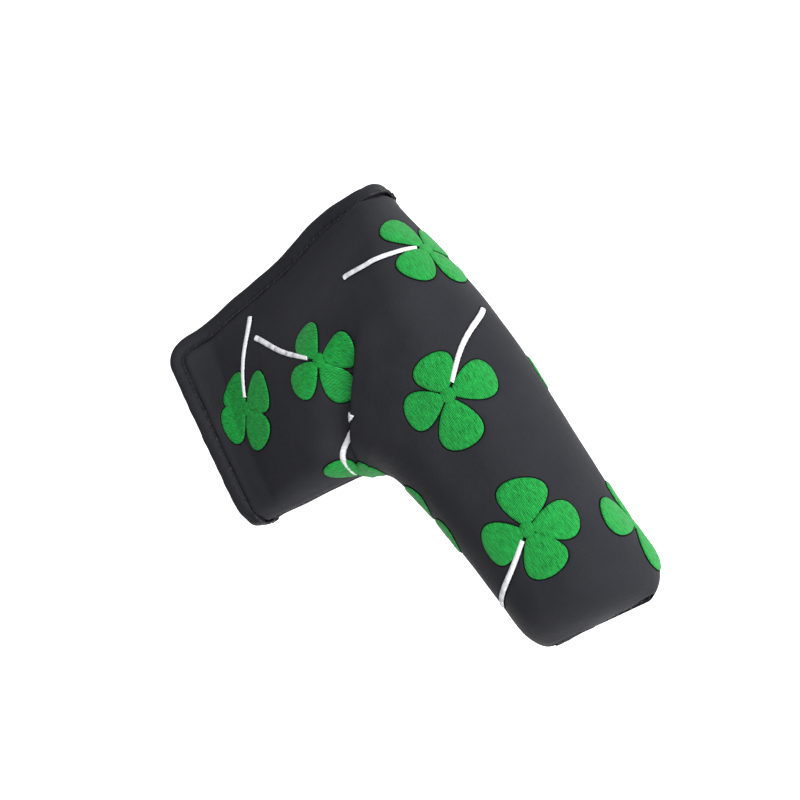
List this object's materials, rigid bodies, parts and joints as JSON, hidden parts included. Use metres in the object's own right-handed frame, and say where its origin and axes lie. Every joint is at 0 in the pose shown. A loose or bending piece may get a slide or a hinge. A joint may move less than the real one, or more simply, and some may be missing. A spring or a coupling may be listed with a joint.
{
  "type": "putter head cover",
  "caption": "Padded leather head cover for a blade putter, L-shaped, open along heel and neck, with clover embroidery.",
  "frame": {"origin": "under the middle of the cover's box, on the plane it rests on", "axes": "+X from the toe to the heel along the sole, +Y from the sole up the neck, +Z out of the front panel"},
  "size_m": [0.1582, 0.1108, 0.0415],
  "materials": {
    "charcoal_leather": "fine-grained matte synthetic leather",
    "foam": "open-cell padding",
    "plush_lining": "short black pile",
    "green_thread": "satin embroidery thread",
    "white_thread": "satin embroidery thread",
    "black_thread": "waxed sewing thread",
    "hook_tape": "nylon hooks on a woven tape",
    "loop_tape": "napped nylon loops"
  },
  "bodies": {
    "pocket": {"pocket_leather": "charcoal_leather", "pocket_foam": "foam", "pocket_lining": "plush_lining", "sole_hem_turn": "charcoal_leather", "neck_hem_turn": "charcoal_leather", "toe_seam_thread": "black_thread", "top_seam_thread": "black_thread", "clover_a_leaves": "green_thread", "clover_a_stem": "white_thread", "clover_b_leaves": "green_thread", "clover_b_stem": "white_thread", "clover_c_leaves": "green_thread", "clover_c_stem": "white_thread", "clover_d_leaves": "green_thread", "clover_d_stem": "white_thread", "clover_f_leaves": "green_thread", "clover_f_stem": "white_thread", "clover_g_leaves": "green_thread", "clover_g_stem": "white_thread", "clover_h_leaves": "green_thread", "clover_i_leaves": "green_thread", "clover_i_stem": "white_thread", "clover_j_leaves": "green_thread", "clover_j_stem": "white_thread", "clover_k_leaves": "green_thread", "clover_k_stem": "white_thread", "clover_l_leaves": "green_thread", "clover_l_stem": "white_thread", "clover_m_leaves": "green_thread", "clover_m_stem": "white_thread", "clover_n_leaves": "green_thread", "clover_n_stem": "white_thread"},
    "front_flap": {"front_flap_leather": "charcoal_leather", "front_flap_foam": "foam", "front_flap_lining": "plush_lining", "front_hem": "charcoal_leather", "front_topstitch": "black_thread", "hook_tape": "hook_tape", "hook_tape_thread": "black_thread", "clover_e_leaves": "green_thread", "clover_e_stem": "white_thread", "clover_d_stem_flap": "white_thread"},
    "back_flap": {"back_flap_leather": "charcoal_leather", "back_flap_foam": "foam", "back_flap_lining": "plush_lining", "back_hem": "charcoal_leather", "back_topstitch": "black_thread", "loop_tape": "loop_tape", "loop_tape_thread": "black_thread", "clover_o_leaves": "green_thread", "clover_o_stem": "white_thread"}
  },
  "joints": [
    {"name": "front_flap_fold", "type": "hinge", "parent": "pocket", "child": "front_flap", "pos_m": [0.04105, 0.0018, 0.0342], "axis": [0.4542, -0.8909, 0], "range_deg": [0, 60]},
    {"name": "back_flap_fold", "type": "hinge", "parent": "pocket", "child": "back_flap", "pos_m": [0.04105, 0.0018, 0], "axis": [-0.4542, 0.8909, 0], "range_deg": [0, 60]}
  ]
}
